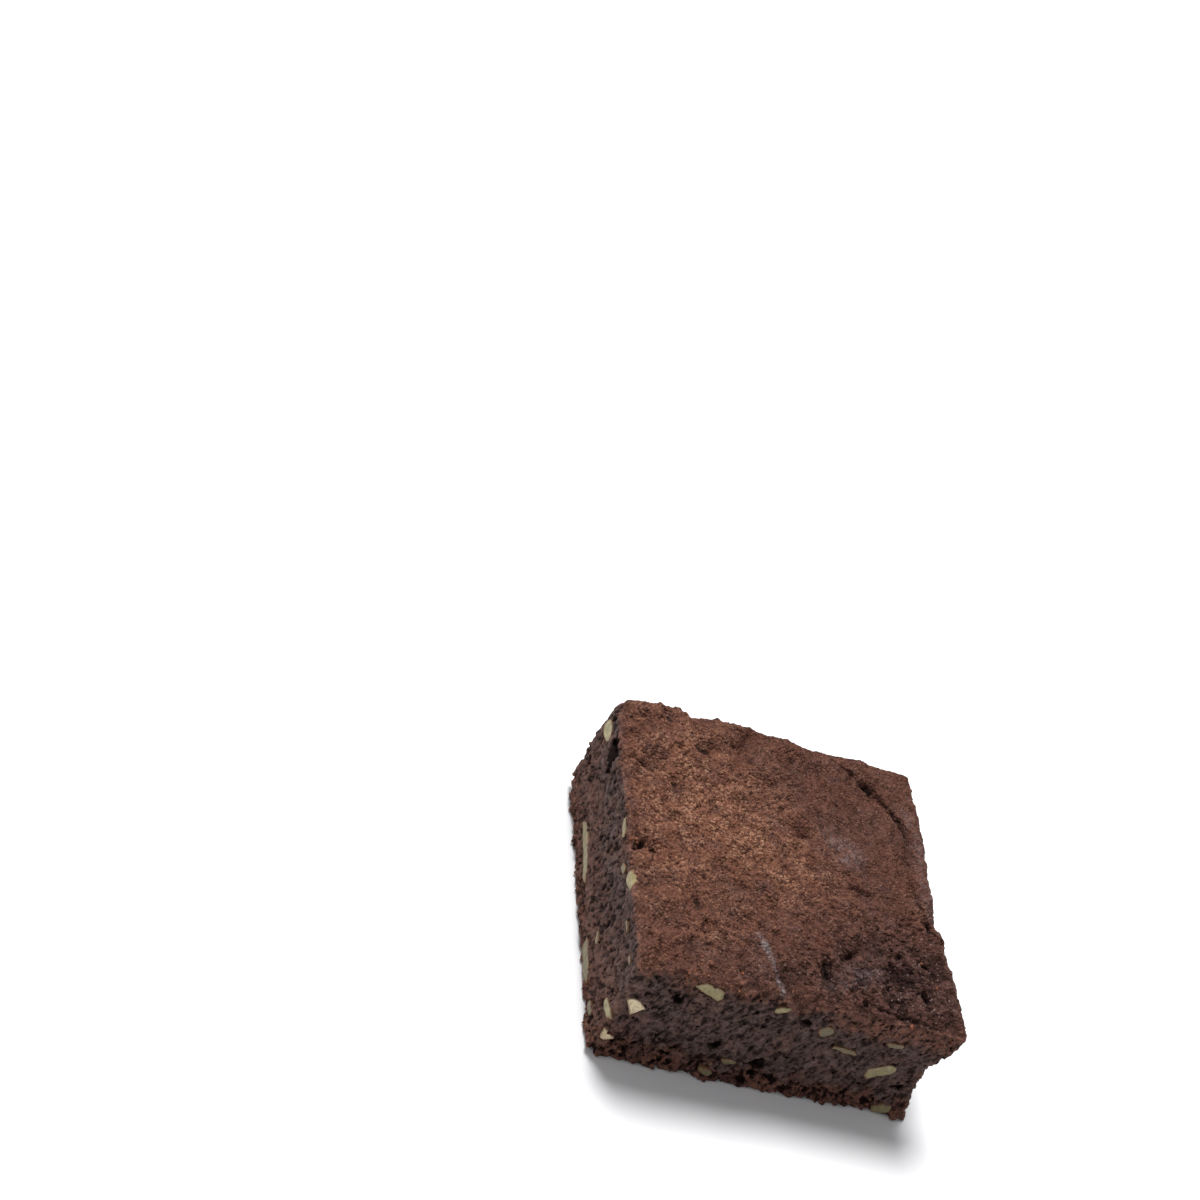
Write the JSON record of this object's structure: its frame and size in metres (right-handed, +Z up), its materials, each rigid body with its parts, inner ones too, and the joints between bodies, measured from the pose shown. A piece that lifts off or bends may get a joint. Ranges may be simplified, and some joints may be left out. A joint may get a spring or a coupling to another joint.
{
  "type": "chocolate brownie",
  "caption": "Square of chocolate walnut brownie cut from a tray bake, with a domed crackled crust and chopped walnut in its cut sides.",
  "frame": {"origin": "middle of the part's box on the flat base", "axes": "+Z up through the crust, +X to the right along the front cut side, +Y from the front cut side to the back one"},
  "size_m": [0.0666, 0.0696, 0.0283],
  "materials": {
    "crumb": "porous dark chocolate crumb under a thin matt brown crust",
    "walnut": "cut walnut, matt and slightly oily"
  },
  "bodies": {
    "root": {"crumb": "crumb", "nut_front_01": "walnut", "nut_front_02": "walnut", "nut_front_03": "walnut", "nut_front_04": "walnut", "nut_front_05": "walnut", "nut_front_06": "walnut", "nut_front_07": "walnut", "nut_front_08": "walnut", "nut_front_09": "walnut", "nut_front_10": "walnut", "nut_front_11": "walnut", "nut_left_01": "walnut", "nut_left_02": "walnut", "nut_left_03": "walnut", "nut_left_04": "walnut", "nut_left_05": "walnut", "nut_left_06": "walnut", "nut_left_07": "walnut", "nut_left_08": "walnut", "nut_left_09": "walnut", "nut_left_10": "walnut", "nut_left_11": "walnut", "nut_right_01": "walnut", "nut_right_02": "walnut", "nut_right_03": "walnut", "nut_right_04": "walnut", "nut_right_05": "walnut", "nut_right_06": "walnut", "nut_right_07": "walnut", "nut_right_08": "walnut", "nut_right_09": "walnut", "nut_back_01": "walnut", "nut_back_02": "walnut", "nut_back_03": "walnut", "nut_back_04": "walnut", "nut_back_05": "walnut", "nut_back_06": "walnut", "nut_back_07": "walnut", "nut_back_08": "walnut", "nut_back_09": "walnut"}
  },
  "joints": []
}
